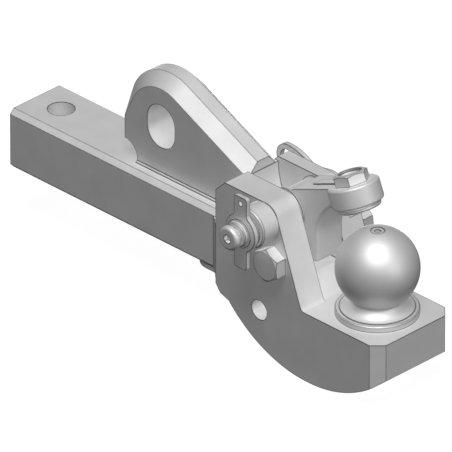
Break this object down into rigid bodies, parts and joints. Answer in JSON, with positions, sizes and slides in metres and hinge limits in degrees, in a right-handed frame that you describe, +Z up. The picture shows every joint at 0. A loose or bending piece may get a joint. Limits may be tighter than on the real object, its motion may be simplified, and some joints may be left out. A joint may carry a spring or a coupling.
{
  "type": "tow ball hitch",
  "caption": "Square drawbar with a forged head, a large coupling ball, a pivoting hold-down arm over it, and a lug plate with an oblong eye.",
  "frame": {"origin": "middle of the upright pin hole near the rear end of the drawbar, halfway up the bar", "axes": "+X along the bar towards the ball, +Z up along the pin hole, +Y away from the keeper plate"},
  "size_m": [0.5, 0.1672, 0.2241],
  "materials": {
    "forged_steel": "matt grey, smooth forged and machined faces",
    "cast_steel": "matt grey casting skin",
    "ball_steel": "turned and polished grey steel",
    "turned_steel": "turned grey steel",
    "plate_steel": "cut plate, grey",
    "fastener_steel": "plain grey fastener steel",
    "spring_steel": "dark drawn wire",
    "weld_metal": "weld bead, painted over",
    "bronze": "plain bearing bronze"
  },
  "bodies": {
    "head": {"drawbar": "forged_steel", "heel_plate": "forged_steel", "side_welds": "weld_metal", "lug_plate": "forged_steel", "lug_welds": "weld_metal", "hitch_head": "forged_steel", "ball_stud": "ball_steel", "shank_weld": "weld_metal", "pin_boss": "turned_steel", "near_bush": "bronze", "far_bush": "bronze", "thrust_washers": "turned_steel", "stop_bolt": "fastener_steel", "stop_washer": "fastener_steel", "stop_nut": "fastener_steel", "stop_sleeve": "turned_steel"},
    "arm": {"hold_down_arm": "cast_steel", "cross_pin": "turned_steel", "pin_key": "turned_steel", "end_screw": "fastener_steel", "retaining_ring": "fastener_steel", "lever": "plate_steel", "lever_washer": "fastener_steel", "lever_screw": "fastener_steel", "lock_nut": "fastener_steel"},
    "keeper": {"keeper_plate": "plate_steel", "disc_springs": "spring_steel"},
    "pad": {"pressure_pad": "turned_steel"},
    "stud": {"adjusting_stud": "fastener_steel"}
  },
  "joints": [
    {"name": "hold_down_swing", "type": "hinge", "parent": "head", "child": "arm", "pos_m": [0.3182, 0, 0.0607], "axis": [0, -1, 0], "range_deg": [0, 65]},
    {"name": "keeper_press", "type": "slide", "parent": "head", "child": "keeper", "axis": [0, 1, 0], "range_m": [0, 0.0025], "stiffness_N_per_m": 2000, "springref_m": -0.004, "deforming": ["disc_springs"]},
    {"name": "pad_height", "type": "slide", "parent": "arm", "child": "pad", "axis": [0.3875, 0, -0.9219], "range_m": [0, 0.0075]},
    {"name": "stud_turn", "type": "hinge", "parent": "pad", "child": "stud", "pos_m": [0.417, 0, 0.0311], "axis": [0.3875, 0, -0.9219], "range_deg": [0, 1080]}
  ],
  "couplings": [
    {"joint": "stud_turn", "follows": "pad_height", "rad_per_m": 2513.3}
  ]
}
